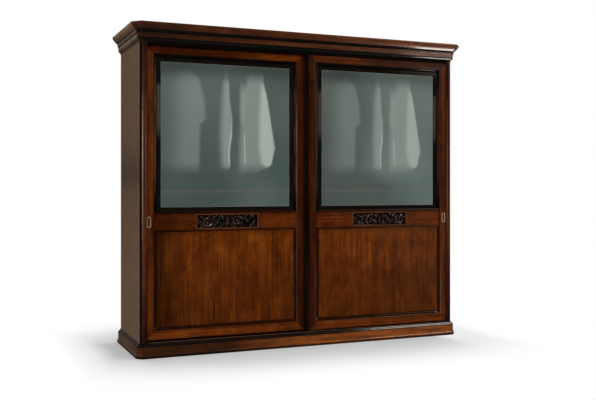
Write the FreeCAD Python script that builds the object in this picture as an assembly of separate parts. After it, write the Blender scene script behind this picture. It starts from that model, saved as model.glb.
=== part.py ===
# Two-door sliding wardrobe with canted corners, moulded cornice and plinth.
# Millimetres. X runs along the front, the front faces -Y, Z is up.
# The origin is the middle of the footprint, on the floor.

import math
import os

import FreeCAD
import Part

Vector = FreeCAD.Vector

# Driving sizes of the whole piece
overall_height = 2507.0
body_width = 2722.0
body_depth = 745.0
plinth_height = 111.0
cornice_height = 137.0
cornice_projection = 69.0
body_cant = 22.0

# Boards of the carcass
board = 22.0
side_board = 25.0
back_board = 6.0
back_rebate = 8.0
carcass_lap = 30.0
interior_setback = 22.0

# Corner posts: a front lip that hides the door edge, with a quirk and an ovolo
post_width = 51.0
post_lip = 8.0
post_return = 33.0
post_fillet = 14.0
post_quirk = 2.0
post_ovolo_drop = 3.5

# Cornice and plinth mouldings
cornice_seat = 18.0
pelmet_board = 6.0
pelmet_drop = 23.0
plinth_projection = 30.0
plinth_seat = 6.0
plinth_face_projection = 22.0
plinth_base_height = 28.0
plinth_top_moulding = 27.0
back_rail_inset = 8.0
bearer_height = 49.0
bearer_inset = 30.0
bearer_spacing = 700.0

# Levelling feet
foot_radius = 18.0
foot_plate = 6.0
foot_stem_radius = 6.0
foot_inset = 70.0
foot_sides = 12

# Door leaves and where they hang
door_thickness = 36.0
door_pitch = 45.0
door_lip_gap = 2.0
door_pocket_gap = 21.0
door_overlap = 24.0
door_floor_gap = 10.0
door_head_gap = 43.0
strip_width = 19.0
strip_round = 7.0
frame_width = 70.0
frame_bead = 15.0
frame_bead_rise = 2.5
frame_bead_drop = 2.0
frame_arris = 1.5
pane_inset = 20.0
pane_thickness = 6.0
pane_slack = 0.6
pane_groove = 10.0
groove_clearance = 1.0
cove_width = 24.0
cove_start = 3.0
cove_edge = 3.0
mid_rail_rise = 820.0
mid_rail_height = 151.0
mid_rail_recess = 10.0
mid_rail_recess_depth = 12.0
mid_rail_low_bead = 8.0
panel_gap = 5.0
panel_set_back = 1.5
panel_round = 3.0

# Carved plaque in the mid rail
plaque_width = 510.0
plaque_height = 118.0
plaque_border = 10.0
plaque_pocket = 5.0
plaque_field = 2.0
plaque_proud = 2.0
plaque_fit = 0.3
scroll_rise = 2.5
scroll_thickness = 9.0
boss_radius = 15.0
boss_sides = 8

# Flush pulls
pull_width = 34.0
pull_height = 85.0
pull_flange = 7.0
pull_proud = 1.8
pull_cup_depth = 14.0
pull_wall = 1.5
pull_cup_sides = 8
pull_fit = 0.3
pull_rise = 893.0
pull_bead_gap = 6.5

# Top track, rollers and hangers
track_metal = 3.0
track_end_gap = 10.0
track_front = 6.0
track_wall = 31.0
ledge_reach = 14.5
ledge_drop = 31.0
roller_radius = 12.0
roller_width = 7.0
roller_gap = 0.3
axle_radius = 3.0
axle_shoulder = 4.5
axle_head = 5.0
axle_head_length = 1.5
axle_slack = 0.05
nut_sides = 6
roller_overhang = 16.0
hanger_plate = 3.0
hanger_plate_front = 12.0
hanger_width = 40.0
hanger_foot_length = 60.0
hanger_foot_front = 6.0
hanger_foot_depth = 24.0
hanger_foot_height = 3.0
hanger_top_gap = 7.0
open_gap = 24.0
stop_length = 20.0
stop_height = 14.0
stop_gap = 0.5

# Bottom track and guide shoes
guide_base = 1.5
guide_rib = 3.0
guide_rib_height = 8.0
shoe_length = 50.0
shoe_depth = 16.0
shoe_height = 7.0
shoe_slack = 0.7
shoe_roof = 1.0

# Fittings behind the doors
hat_space = 270.0
shelf_front_gap = 15.0
pin_radius = 4.0
pin_length = 12.0
pin_sides = 8
pin_inset = 60.0
hanging_rail_radius = 14.0
hanging_rail_wall = 2.0
hanging_rail_drop = 90.0
socket_radius = 22.0
socket_length = 14.0
socket_wall = 4.0
socket_sides = 24
rail_fit = 0.3

# One overrun for every trimmed bar and cut
overrun = 160.0

# Outlines as shares of the projection and height of the moulding that they shape
cornice_ogee_shares = ((0.115, 0.066, 0.17, 0.095), (0.25, 0.128, 0.295, 0.176))
cornice_fascia_shares = ((0.31, 0.176), (0.31, 0.394))
cornice_ovolo_shares = (0.355, 0.41, 0.38, 0.46)
cornice_cove_foot_shares = (0.4, 0.474)
cornice_cove_shares = (0.43, 0.57, 0.53, 0.63)
cornice_nose_foot_shares = (0.56, 0.645)
cornice_nose_shares = (0.81, 0.77, 1.0, 0.92)
cornice_base_share = 0.045
plinth_base_round_shares = (0.93, 0.62, 0.88, 0.93)
plinth_ogee_shares = ((0.93, 0.3, 0.62, 0.5), (0.3, 0.68, 0.18, 1.0))
bead_crown_share = 0.45
cove_bow_shares = (0.34, 0.74)
ovolo_bow_shares = (0.52, 0.26)
scroll_radius_share = 0.34
scroll_place_share = 0.27
leaf_share = 0.55

# Places worked out from the sizes above
half_width = body_width / 2
body_back = (body_depth + cornice_projection) / 2
body_front = body_back - body_depth
body_turn = body_front + body_cant
cornice_bottom = overall_height - cornice_height
carcass_top = cornice_bottom + carcass_lap
inner_side = half_width - side_board
lip_edge = half_width - post_width
panel_floor = plinth_height - board
door_front = body_front + post_lip + door_lip_gap
rear_door_back = door_front + door_pitch + door_thickness
interior_front = rear_door_back + interior_setback
interior_back = body_back - back_board
door_bottom = plinth_height + door_floor_gap
door_top = carcass_top - door_head_gap
door_outer = inner_side - door_pocket_gap
door_inner = -door_overlap / 2
leaf_inner = door_inner + strip_width
opening_inner = leaf_inner + frame_width
opening_outer = door_outer - frame_width
opening_bottom = door_bottom + frame_width
opening_top = door_top - frame_width
opening_middle = (opening_inner + opening_outer) / 2
mid_rail_bottom = door_bottom + mid_rail_rise
mid_rail_top = mid_rail_bottom + mid_rail_height
mid_rail_flat_top = mid_rail_top - frame_bead
mid_rail_middle = (mid_rail_bottom + mid_rail_low_bead + mid_rail_flat_top) / 2
groove_back = pane_inset + pane_thickness + pane_slack
ledge_bottom = carcass_top - track_metal - ledge_drop
ledge_top = ledge_bottom + track_metal
roller_height = ledge_top + roller_gap + roller_radius
track_end = inner_side - track_end_gap
slide_travel = inner_side + door_inner - open_gap
shelf_top = carcass_top - hat_space
divider_half = board / 2

x_axis = Vector(1, 0, 0)
y_axis = Vector(0, 1, 0)
z_axis = Vector(0, 0, 1)


# Shapes that several pieces use

def block(x_low, x_high, y_low, y_high, z_low, z_high):
    return Part.makeBox(x_high - x_low, y_high - y_low, z_high - z_low, Vector(x_low, y_low, z_low))


def rod(foot, direction, radius, length):
    return Part.makeCylinder(radius, length, foot, direction)


# A bar with flat sides, such as a bolt head, a nut or a turned foot
def sided_rod(foot, direction, radius, length, sides):
    first = direction.cross(Vector(1, 1, 1)).normalize() * radius
    turn = FreeCAD.Rotation(direction, 360 / sides)
    points = []
    for _ in range(sides):
        points.append(foot + first)
        first = turn.multVec(first)
    return polygon_prism(points, Vector(direction) * length)


def polygon_prism(points, travel):
    ring = Part.makePolygon(points + [points[0]])
    return Part.Face(ring).extrude(travel)


# A step with two numbers is a line to that point, one with four is an arc through the first two
def outline_face(steps, place):
    here = steps[0]
    edges = []
    for step in steps[1:]:
        if len(step) == len(here):
            edges.append(Part.makeLine(place(*here), place(*step)))
            here = step
            continue
        middle = (step[0], step[1])
        finish = (step[2], step[3])
        edges.append(Part.Arc(place(*here), place(*middle), place(*finish)).toShape())
        here = finish
    edges.append(Part.makeLine(place(*here), place(*steps[0])))
    return Part.Face(Part.Wire(edges))


# Cuts away all that lies beyond the plane through point with the two given directions
def trim(shape, point, first, second, beyond):
    reach = overall_height + body_width
    across = first.normalize() * reach
    upward = second.normalize() * reach
    normal = across.cross(upward).normalize()
    if normal.dot(beyond) < 0:
        normal = normal.negative()
    corners = [point + across + upward, point - across + upward,
               point - across - upward, point + across - upward]
    return shape.cut(polygon_prism(corners, normal * reach))


# A straight moulded bar between two points, with the outline in (out, deep) and mitred ends
def moulded_bar(start, finish, out, deep, steps, start_mitre, finish_mitre):
    along = (finish - start).normalize()
    base = start - along * overrun

    def place(u, v):
        return base + out * u + deep * v

    travel = along * ((finish - start).Length + overrun + overrun)
    bar = outline_face(steps, place).extrude(travel)
    bar = trim(bar, start, Vector(start_mitre), Vector(deep), along.negative())
    return trim(bar, finish, Vector(finish_mitre), Vector(deep), along)


def stadium(x_middle, z_middle, width, height, y_low, y_high):
    radius = width / 2
    rise = height / 2 - radius

    def place(u, v):
        return Vector(x_middle + u, y_low, z_middle + v)

    steps = [(-radius, -rise), (0, -rise - radius, radius, -rise), (radius, rise),
             (0, rise + radius, -radius, rise)]
    return outline_face(steps, place).extrude(y_axis * (y_high - y_low))


# The same shape with straight sides for its round ends, for the hidden outside of the pull cup
def sided_stadium(x_middle, z_middle, width, height, y_low, y_high):
    radius = width / 2
    rise = height / 2 - radius
    spoke = x_axis * radius
    turn = FreeCAD.Rotation(y_axis, -180 / pull_cup_sides)
    points = []
    for lift in (rise, -rise):
        middle = Vector(x_middle, y_low, z_middle + lift)
        points.append(middle + spoke)
        for _ in range(pull_cup_sides):
            spoke = turn.multVec(spoke)
            points.append(middle + spoke)
    return polygon_prism(points, y_axis * (y_high - y_low))


# The rear door is the front one mirrored and set back by one track
def hung(shape, side):
    if side == "right":
        return shape
    mirrored = shape.mirror(Vector(0, 0, 0), x_axis)
    mirrored.translate(y_axis * door_pitch)
    return mirrored


def mirrored_for(shape, side):
    if side == "right":
        return shape
    return shape.mirror(Vector(0, 0, 0), x_axis)


# Carcass

# Plan of the body with its two front corners cut at 45 degrees
def canted_board(z_low):
    front = half_width - body_cant
    points = [Vector(-half_width, body_back, z_low), Vector(-half_width, body_turn, z_low),
              Vector(-front, body_front, z_low), Vector(front, body_front, z_low),
              Vector(half_width, body_turn, z_low), Vector(half_width, body_back, z_low)]
    return polygon_prism(points, z_axis * board)


def side_panel(side):
    panel = block(inner_side, half_width, body_turn, body_back, plinth_height, carcass_top)
    rebate = block(inner_side, inner_side + back_rebate, interior_back, body_back + overrun,
                   plinth_height, carcass_top)
    return mirrored_for(panel.cut(rebate), side)


def corner_post(side):
    quirk_edge = half_width - body_cant - post_fillet
    bow_in, bow_back = ovolo_bow_shares
    ovolo_start = quirk_edge - post_quirk
    ovolo_width = ovolo_start - lip_edge
    lip_back = body_front + post_lip

    def place(x, y):
        return Vector(x, y, plinth_height)

    steps = [(half_width, body_turn), (half_width - body_cant, body_front), (quirk_edge, body_front),
             (quirk_edge - post_quirk / 2, body_front + post_quirk), (ovolo_start, body_front),
             (ovolo_start - ovolo_width * bow_in, body_front + post_ovolo_drop * bow_back,
              lip_edge, body_front + post_ovolo_drop),
             (lip_edge, lip_back), (half_width - post_return, lip_back),
             (half_width - post_return, body_turn)]
    post = outline_face(steps, place).extrude(z_axis * (carcass_top - plinth_height))
    return mirrored_for(post, side)


def center_divider():
    return block(-divider_half, divider_half, interior_front, interior_back, plinth_height, carcass_top)


def back_panels():
    reach = inner_side + back_rebate
    left = block(-reach, 0, interior_back, body_back, plinth_height, carcass_top)
    right = block(0, reach, interior_back, body_back, plinth_height, carcass_top)
    return [left, right]


# Cornice: ogee, fascia, ovolo, cove and a thumb moulding, mitred round the canted corners

def cornice_outline():
    wide = cornice_projection
    high = cornice_height
    steps = [(0, 0), (wide * cornice_base_share, 0)]
    for share in cornice_ogee_shares:
        steps.append((wide * share[0], high * share[1], wide * share[2], high * share[3]))
    for share in cornice_fascia_shares:
        steps.append((wide * share[0], high * share[1]))
    ovolo = cornice_ovolo_shares
    steps.append((wide * ovolo[0], high * ovolo[1], wide * ovolo[2], high * ovolo[3]))
    steps.append((wide * cornice_cove_foot_shares[0], high * cornice_cove_foot_shares[1]))
    cove = cornice_cove_shares
    steps.append((wide * cove[0], high * cove[1], wide * cove[2], high * cove[3]))
    steps.append((wide * cornice_nose_foot_shares[0], high * cornice_nose_foot_shares[1]))
    nose = cornice_nose_shares
    steps.append((wide * nose[0], high * nose[1], wide * nose[2], high * nose[3]))
    steps.append((wide, high))
    steps.append((-cornice_seat, high))
    steps.append((-cornice_seat, carcass_lap + board))
    steps.append((0, carcass_lap + board))
    return steps


# Plinth: base bead, plain face and an ogee that steps back to the body
def plinth_outline():
    face = plinth_face_projection
    base = plinth_base_height
    ogee_foot = plinth_height - plinth_top_moulding
    round_off = plinth_base_round_shares
    steps = [(-plinth_seat, 0), (plinth_projection, 0), (plinth_projection, base * round_off[1]),
             (plinth_projection * round_off[0], base * round_off[3], face, base), (face, ogee_foot)]
    for share in plinth_ogee_shares:
        steps.append((face * share[0], ogee_foot + plinth_top_moulding * share[1],
                      face * share[2], ogee_foot + plinth_top_moulding * share[3]))
    steps.append((0, plinth_height))
    steps.append((0, panel_floor))
    steps.append((-plinth_seat, panel_floor))
    return steps


# The two mitre directions of a corner with a 45 degree cant
side_mitre = Vector(math.cos(math.radians(22.5)), -math.sin(math.radians(22.5)), 0)
front_mitre = Vector(math.sin(math.radians(22.5)), -math.cos(math.radians(22.5)), 0)


def front_run(steps, z_low):
    start = Vector(-half_width + body_cant, body_front, z_low)
    finish = Vector(half_width - body_cant, body_front, z_low)
    left_mitre = Vector(-front_mitre.x, front_mitre.y, 0)
    return moulded_bar(start, finish, y_axis.negative(), z_axis, steps, left_mitre, front_mitre)


def side_run(steps, z_low, side):
    start = Vector(half_width, body_turn, z_low)
    finish = Vector(half_width, body_back, z_low)
    run = moulded_bar(start, finish, x_axis, z_axis, steps, side_mitre, x_axis)
    return mirrored_for(run, side)


def corner_runs(steps, z_low):
    start = Vector(half_width - body_cant, body_front, z_low)
    finish = Vector(half_width, body_turn, z_low)
    out = Vector(1, -1, 0).normalize()
    run = moulded_bar(start, finish, out, z_axis, steps, front_mitre, side_mitre)
    return [mirrored_for(run, "left"), run]


def top_pelmet():
    return block(-lip_edge, lip_edge, body_front, body_front + pelmet_board,
                 cornice_bottom - pelmet_drop, carcass_top)


# Under the floor of the carcass

def plinth_back_rail():
    reach = half_width - plinth_seat
    rail_back = body_back - back_rail_inset
    return block(-reach, reach, rail_back - board, rail_back, 0, panel_floor)


def plinth_bearers():
    front = body_front + plinth_seat
    back = body_back - back_rail_inset - board
    bearers = []
    for place in (-bearer_spacing, 0, bearer_spacing):
        bearers.append(block(place - divider_half, place + divider_half, front, back,
                             panel_floor - bearer_height, panel_floor))
    return bearers


def levelling_feet():
    feet = []
    stem = panel_floor - bearer_height - foot_plate
    for x_place in (-bearer_spacing, 0, bearer_spacing):
        for y_place in (body_front + foot_inset, body_back - foot_inset):
            plate = sided_rod(Vector(x_place, y_place, 0), z_axis, foot_radius, foot_plate, foot_sides)
            shank = sided_rod(Vector(x_place, y_place, foot_plate), z_axis, foot_stem_radius, stem, nut_sides)
            feet.append(plate.fuse(shank))
    return feet


# Sliding gear

# One web with a wall and a ledge for each door, as one extrusion
def top_track():
    first = door_front
    second = door_front + door_pitch
    web_bottom = carcass_top - track_metal
    points = [(first + track_front, carcass_top), (second + track_wall + track_metal, carcass_top),
              (second + track_wall + track_metal, ledge_bottom),
              (second + track_wall - ledge_reach, ledge_bottom),
              (second + track_wall - ledge_reach, ledge_top), (second + track_wall, ledge_top),
              (second + track_wall, web_bottom), (first + track_wall + track_metal, web_bottom),
              (first + track_wall + track_metal, ledge_bottom),
              (first + track_wall - ledge_reach, ledge_bottom),
              (first + track_wall - ledge_reach, ledge_top), (first + track_wall, ledge_top),
              (first + track_wall, web_bottom), (first + track_front, web_bottom)]
    section = [Vector(-track_end, y, z) for y, z in points]
    return polygon_prism(section, x_axis * (track_end + track_end))


def bottom_track():
    first = door_front + door_thickness / 2
    second = first + door_pitch
    base = block(-track_end, track_end, door_front + track_front, second + guide_rib + track_front,
                 plinth_height, plinth_height + guide_base)
    for middle in (first, second):
        rib = block(-track_end, track_end, middle - guide_rib / 2, middle + guide_rib / 2,
                    plinth_height, plinth_height + guide_rib_height)
        base = base.fuse(rib)
    return base.removeSplitter()


def roller_places():
    return (opening_inner - roller_overhang, opening_outer + roller_overhang)


# A stop at each end of both ledges, just clear of the wheel where the door stops
def track_end_stops():
    low, high = roller_places()
    closed = high + roller_radius + stop_gap
    opened = low - slide_travel - roller_radius - stop_gap
    y_low = door_front + track_wall - ledge_reach
    y_high = door_front + track_wall
    right_closed = block(closed, closed + stop_length, y_low, y_high, ledge_top, ledge_top + stop_height)
    right_opened = block(opened - stop_length, opened, y_low, y_high, ledge_top, ledge_top + stop_height)
    stops = []
    for stop in (right_closed, right_opened):
        stops.append(stop)
        stops.append(hung(stop, "left"))
    return stops


def roller(place, side):
    y_low = door_front + hanger_plate_front + hanger_plate + hanger_plate
    middle = Vector(place, y_low, roller_height)
    wheel = rod(middle, y_axis, roller_radius, roller_width)
    bore = rod(middle - y_axis * overrun, y_axis, axle_radius + axle_slack, overrun + overrun)
    return hung(wheel.cut(bore), side)


# Foot on the door, upright plate beside the ledge, and the axle that carries the wheel
def hangers(side):
    plate_front = door_front + hanger_plate_front
    plate_back = plate_front + hanger_plate
    wheel_front = plate_back + hanger_plate
    wheel_back = wheel_front + roller_width
    foot_top = door_top + hanger_foot_height
    pieces = []
    for place in roller_places():
        foot = block(place - hanger_foot_length / 2, place + hanger_foot_length / 2,
                     door_front + hanger_foot_front, door_front + hanger_foot_front + hanger_foot_depth,
                     door_top, foot_top)
        plate = block(place - hanger_width / 2, place + hanger_width / 2, plate_front, plate_back,
                      door_top, carcass_top - track_metal - hanger_top_gap)
        axis_start = Vector(place, plate_front, roller_height)
        shoulder = sided_rod(axis_start, y_axis, axle_shoulder, wheel_front - roller_gap - plate_front,
                             nut_sides)
        axle_length = wheel_back + roller_gap + axle_head_length - plate_front
        axle = rod(axis_start, y_axis, axle_radius, axle_length)
        head_start = Vector(place, wheel_back + roller_gap, roller_height)
        head = sided_rod(head_start, y_axis, axle_head, axle_head_length, nut_sides)
        pieces.append(hung(foot.fuse([plate, shoulder, axle, head]), side))
    return pieces


def guide_shoes(side):
    middle = door_front + door_thickness / 2
    slot_half = guide_rib / 2 + shoe_slack
    pieces = []
    for place in roller_places():
        shoe = block(place - shoe_length / 2, place + shoe_length / 2,
                     middle - shoe_depth / 2, middle + shoe_depth / 2,
                     door_bottom - shoe_height, door_bottom)
        slot = block(place - shoe_length, place + shoe_length, middle - slot_half, middle + slot_half,
                     door_bottom - overrun, plinth_height + guide_rib_height + shoe_roof)
        pieces.append(hung(shoe.cut(slot), side))
    return pieces


# Door leaves: a mitred frame with a moulded inner edge, a glazed upper and a panelled lower opening

def frame_outline(width):
    deep = door_thickness
    return [(0, frame_bead_drop),
            (frame_bead * bead_crown_share, -frame_bead_rise, frame_bead, 0),
            (width - frame_arris, 0), (width, frame_arris), (width, deep), (0, deep),
            (0, groove_back), (pane_groove, groove_back), (pane_groove, pane_inset), (0, pane_inset)]


def opening_corner(x_side, z_side):
    x_place = opening_outer if x_side > 0 else opening_inner
    z_place = opening_top if z_side > 0 else opening_bottom
    return Vector(x_place, door_front, z_place)


def frame_member(x_start, z_start, x_finish, z_finish, out):
    return moulded_bar(opening_corner(x_start, z_start), opening_corner(x_finish, z_finish), out, y_axis,
                       frame_outline(frame_width), Vector(x_start, 0, z_start), Vector(x_finish, 0, z_finish))


def pull_middle():
    return opening_outer + frame_bead + pull_bead_gap + pull_width / 2


def outer_stile(side):
    stile = frame_member(1, -1, 1, 1, x_axis)
    pocket = sided_stadium(pull_middle(), door_bottom + pull_rise,
                           pull_width - pull_flange - pull_flange + pull_fit + pull_fit,
                           pull_height - pull_flange - pull_flange + pull_fit + pull_fit,
                           door_front - overrun, door_front + pull_cup_depth + pull_fit)
    return hung(stile.cut(pocket), side)


def inner_stile(side):
    return hung(frame_member(-1, -1, -1, 1, x_axis.negative()), side)


def top_rail(side):
    return hung(frame_member(-1, 1, 1, 1, z_axis), side)


def bottom_rail(side):
    return hung(frame_member(-1, -1, 1, -1, z_axis.negative()), side)


# Edge strip that laps over the other door
def lap_strip(side):
    def place(x, y):
        return Vector(door_inner + x, door_front + y, door_bottom)

    bow = strip_round * (1 - math.sin(math.radians(45)))
    steps = [(strip_width, 0), (strip_round, 0), (bow, bow, 0, strip_round), (0, door_thickness),
             (strip_width, door_thickness)]
    return hung(outline_face(steps, place).extrude(z_axis * (door_top - door_bottom)), side)


def mid_rail_outline():
    low = mid_rail_low_bead
    high = mid_rail_height
    flat = high - frame_bead
    crown = frame_bead * bead_crown_share
    return [(0, frame_bead_drop),
            (low * bead_crown_share, -frame_bead_rise / 2, low, 0), (flat, 0),
            (high - crown, -frame_bead_rise, high, frame_bead_drop),
            (high, pane_inset), (high - pane_groove, pane_inset), (high - pane_groove, groove_back),
            (high, groove_back), (high, door_thickness), (0, door_thickness), (0, groove_back),
            (pane_groove, groove_back), (pane_groove, pane_inset), (0, pane_inset)]


def mid_rail(side):
    start = Vector(opening_inner, door_front, mid_rail_bottom)
    finish = Vector(opening_outer, door_front, mid_rail_bottom)
    rail = moulded_bar(start, finish, z_axis, y_axis, mid_rail_outline(), z_axis, z_axis)
    for x_low in (opening_inner, opening_outer - mid_rail_recess):
        recess = block(x_low, x_low + mid_rail_recess, door_front - overrun,
                       door_front + mid_rail_recess_depth, mid_rail_bottom, mid_rail_top)
        rail = rail.cut(recess)
    pocket = block(opening_middle - plaque_width / 2, opening_middle + plaque_width / 2,
                   door_front - overrun, door_front + plaque_pocket,
                   mid_rail_middle - plaque_height / 2, mid_rail_middle + plaque_height / 2)
    return hung(rail.cut(pocket), side)


def cove_outline():
    bow_in, bow_deep = cove_bow_shares
    cove_deep = pane_inset - cove_edge
    return [(0, cove_start),
            (-cove_width * bow_in, cove_start + (cove_deep - cove_start) * bow_deep, -cove_width, cove_deep),
            (-cove_width, pane_inset), (0, pane_inset)]


# Three mitred strips round an opening, whose fourth side is the mid rail
def cove_strips(z_rail, z_far):
    up_or_down = 1 if z_far > z_rail else -1
    steps = cove_outline()
    inner_low = Vector(opening_inner, door_front, z_rail)
    inner_far = Vector(opening_inner, door_front, z_far)
    outer_far = Vector(opening_outer, door_front, z_far)
    outer_low = Vector(opening_outer, door_front, z_rail)
    inner_mitre = Vector(-1, 0, up_or_down)
    outer_mitre = Vector(1, 0, up_or_down)
    far_out = z_axis * up_or_down
    return [moulded_bar(inner_low, inner_far, x_axis.negative(), y_axis, steps, x_axis, inner_mitre),
            moulded_bar(inner_far, outer_far, far_out, y_axis, steps, inner_mitre, outer_mitre),
            moulded_bar(outer_low, outer_far, x_axis, y_axis, steps, x_axis, outer_mitre)]


def cove_moulding(side):
    strips = cove_strips(mid_rail_top, opening_top) + cove_strips(mid_rail_bottom, opening_bottom)
    return [hung(strip, side) for strip in strips]


def glass_pane(side):
    reach = pane_groove - groove_clearance
    pane = block(opening_inner - reach, opening_outer + reach, door_front + pane_inset,
                 door_front + pane_inset + pane_thickness, mid_rail_top - pane_groove, opening_top + reach)
    return hung(pane, side)


# Raised panel: its field stands forward between the coves, its tongue sits in the frame's groove
def lower_panel(side):
    reach = pane_groove - groove_clearance
    tongue = block(opening_inner - reach, opening_outer + reach, door_front + pane_inset,
                   door_front + pane_inset + pane_thickness, opening_bottom - pane_groove,
                   mid_rail_bottom + reach)
    field = block(opening_inner + cove_width, opening_outer - cove_width,
                  door_front + panel_set_back, door_front + pane_inset,
                  opening_bottom + cove_width, mid_rail_bottom - panel_gap)
    front_edges = []
    for edge in field.Edges:
        if abs(edge.BoundBox.YMax - door_front - panel_set_back) < pane_slack:
            front_edges.append(edge)
    field = field.makeFillet(panel_round, front_edges)
    return hung(tongue.fuse(field), side)


# A curl of the plaque's foliage: a crescent that thins to a point at one end
def scroll(x_middle, z_middle, radius, turn):
    y_low = door_front + plaque_field - scroll_rise

    def place(u, v):
        return Vector(x_middle + u * turn, y_low, z_middle + v)

    inner = radius - scroll_thickness
    steps = [(-radius, 0), (0, radius, radius, 0), (inner * leaf_share, -inner * leaf_share, 0, -inner),
             (inner * leaf_share, 0), (0, inner, -inner, 0)]
    return outline_face(steps, place).extrude(y_axis * (scroll_rise + plaque_pocket - plaque_field))


def carved_plaque(side):
    half_long = plaque_width / 2 - plaque_fit
    half_high = plaque_height / 2 - plaque_fit
    inner_long = half_long - plaque_border
    inner_high = half_high - plaque_border
    plate = block(opening_middle - half_long, opening_middle + half_long, door_front - plaque_proud,
                  door_front + plaque_pocket, mid_rail_middle - half_high, mid_rail_middle + half_high)
    field = block(opening_middle - inner_long, opening_middle + inner_long, door_front - overrun,
                  door_front + plaque_field, mid_rail_middle - inner_high, mid_rail_middle + inner_high)
    plaque = plate.cut(field)
    radius = plaque_height * scroll_radius_share
    for turn in (-1, 1):
        x_place = opening_middle + turn * scroll_place_share * plaque_width
        plaque = plaque.fuse(scroll(x_place, mid_rail_middle, radius, turn))
    boss = sided_rod(Vector(opening_middle, door_front + plaque_field - scroll_rise, mid_rail_middle), y_axis,
                     boss_radius, scroll_rise + plaque_pocket - plaque_field, boss_sides)
    return hung(plaque.fuse(boss), side)


# Oblong flush pull: flange on the stile, cup let into it
def flush_pull(side):
    x_middle = pull_middle()
    z_middle = door_bottom + pull_rise
    cup_width = pull_width - pull_flange - pull_flange
    cup_height = pull_height - pull_flange - pull_flange
    walls = pull_wall + pull_wall
    flange = stadium(x_middle, z_middle, pull_width, pull_height, door_front - pull_proud, door_front)
    cup = sided_stadium(x_middle, z_middle, cup_width, cup_height, door_front, door_front + pull_cup_depth)
    hollow = stadium(x_middle, z_middle, cup_width - walls, cup_height - walls,
                     door_front - overrun, door_front + pull_cup_depth - pull_wall)
    return hung(flange.fuse(cup).cut(hollow), side)


# Fittings behind the doors, made for the right bay and mirrored for the left

def hat_shelf(side):
    shelf = block(divider_half, inner_side, interior_front + shelf_front_gap, interior_back,
                  shelf_top - board, shelf_top)
    return mirrored_for(shelf, side)


def shelf_pins():
    pins = []
    z_place = shelf_top - board - pin_radius
    for y_place in (interior_front + shelf_front_gap + pin_inset, interior_back - pin_inset):
        for foot in (divider_half, inner_side - pin_length):
            pin = sided_rod(Vector(foot, y_place, z_place), x_axis, pin_radius, pin_length, pin_sides)
            pins.append(mirrored_for(pin, "left"))
            pins.append(pin)
    return pins


def hanging_rail_middle():
    return (interior_front + interior_back) / 2


def hanging_rail_height():
    return shelf_top - board - hanging_rail_drop


def hanging_rail(side):
    start = Vector(divider_half + socket_wall, hanging_rail_middle(), hanging_rail_height())
    length = inner_side - divider_half - socket_wall - socket_wall
    tube = rod(start, x_axis, hanging_rail_radius, length)
    bore = rod(start - x_axis * overrun, x_axis, hanging_rail_radius - hanging_rail_wall,
               length + overrun + overrun)
    return mirrored_for(tube.cut(bore), side)


def rail_sockets():
    sockets = []
    for foot, direction in ((divider_half, 1), (inner_side, -1)):
        along = x_axis * direction
        start = Vector(foot, hanging_rail_middle(), hanging_rail_height())
        cup = sided_rod(start, along, socket_radius, socket_length, socket_sides)
        hole = rod(start + along * socket_wall, along, hanging_rail_radius + rail_fit, overrun)
        socket = cup.cut(hole)
        sockets.append(mirrored_for(socket, "left"))
        sockets.append(socket)
    return sockets


# All nodes by name

def carcass_nodes():
    cornice_steps = cornice_outline()
    plinth_steps = plinth_outline()
    nodes = {
        "top_panel": canted_board(carcass_top),
        "bottom_panel": canted_board(panel_floor),
        "center_divider": center_divider(),
        "back_panels": back_panels(),
        "cornice_front": front_run(cornice_steps, cornice_bottom),
        "cornice_corner_blocks": corner_runs(cornice_steps, cornice_bottom),
        "top_pelmet": top_pelmet(),
        "plinth_front": front_run(plinth_steps, 0),
        "plinth_corner_blocks": corner_runs(plinth_steps, 0),
        "plinth_back_rail": plinth_back_rail(),
        "plinth_bearers": plinth_bearers(),
        "levelling_feet": levelling_feet(),
        "top_track": top_track(),
        "bottom_track": bottom_track(),
        "track_end_stops": track_end_stops(),
        "rail_sockets": rail_sockets(),
        "shelf_pins": shelf_pins(),
    }
    for side in ("left", "right"):
        nodes["side_panel_" + side] = side_panel(side)
        nodes["corner_post_" + side] = corner_post(side)
        nodes["cornice_side_" + side] = side_run(cornice_steps, cornice_bottom, side)
        nodes["plinth_side_" + side] = side_run(plinth_steps, 0, side)
        nodes["hanging_rail_" + side] = hanging_rail(side)
        nodes["hat_shelf_" + side] = hat_shelf(side)
    return nodes


def door_nodes(side):
    near_middle, near_side = roller_places()
    pieces = {
        "outer_stile": outer_stile(side),
        "inner_stile": inner_stile(side),
        "top_rail": top_rail(side),
        "mid_rail": mid_rail(side),
        "bottom_rail": bottom_rail(side),
        "lap_strip": lap_strip(side),
        "cove_moulding": cove_moulding(side),
        "glass_pane": glass_pane(side),
        "lower_panel": lower_panel(side),
        "carved_plaque": carved_plaque(side),
        "flush_pull": flush_pull(side),
        "hangers": hangers(side),
        "guide_shoes": guide_shoes(side),
        "roller_inner": roller(near_middle, side),
        "roller_outer": roller(near_side, side),
    }
    return {side + "_door_" + name: shape for name, shape in pieces.items()}


def write_nodes(nodes):
    os.makedirs("parts", exist_ok=True)
    for name, shape in sorted(nodes.items()):
        if isinstance(shape, list):
            shape = Part.makeCompound(shape)
        if not shape.isValid():
            print("not valid:", name)
        shape.exportStep("parts/" + name + ".step")
        print(name, len(shape.Solids), "solid(s)", round(shape.Volume), "mm3")


all_nodes = carcass_nodes()
for door_side in ("left", "right"):
    all_nodes.update(door_nodes(door_side))
write_nodes(all_nodes)
print(len(all_nodes), "nodes")
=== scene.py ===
import math

import bmesh
import bpy
from mathutils import Matrix, Vector


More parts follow.
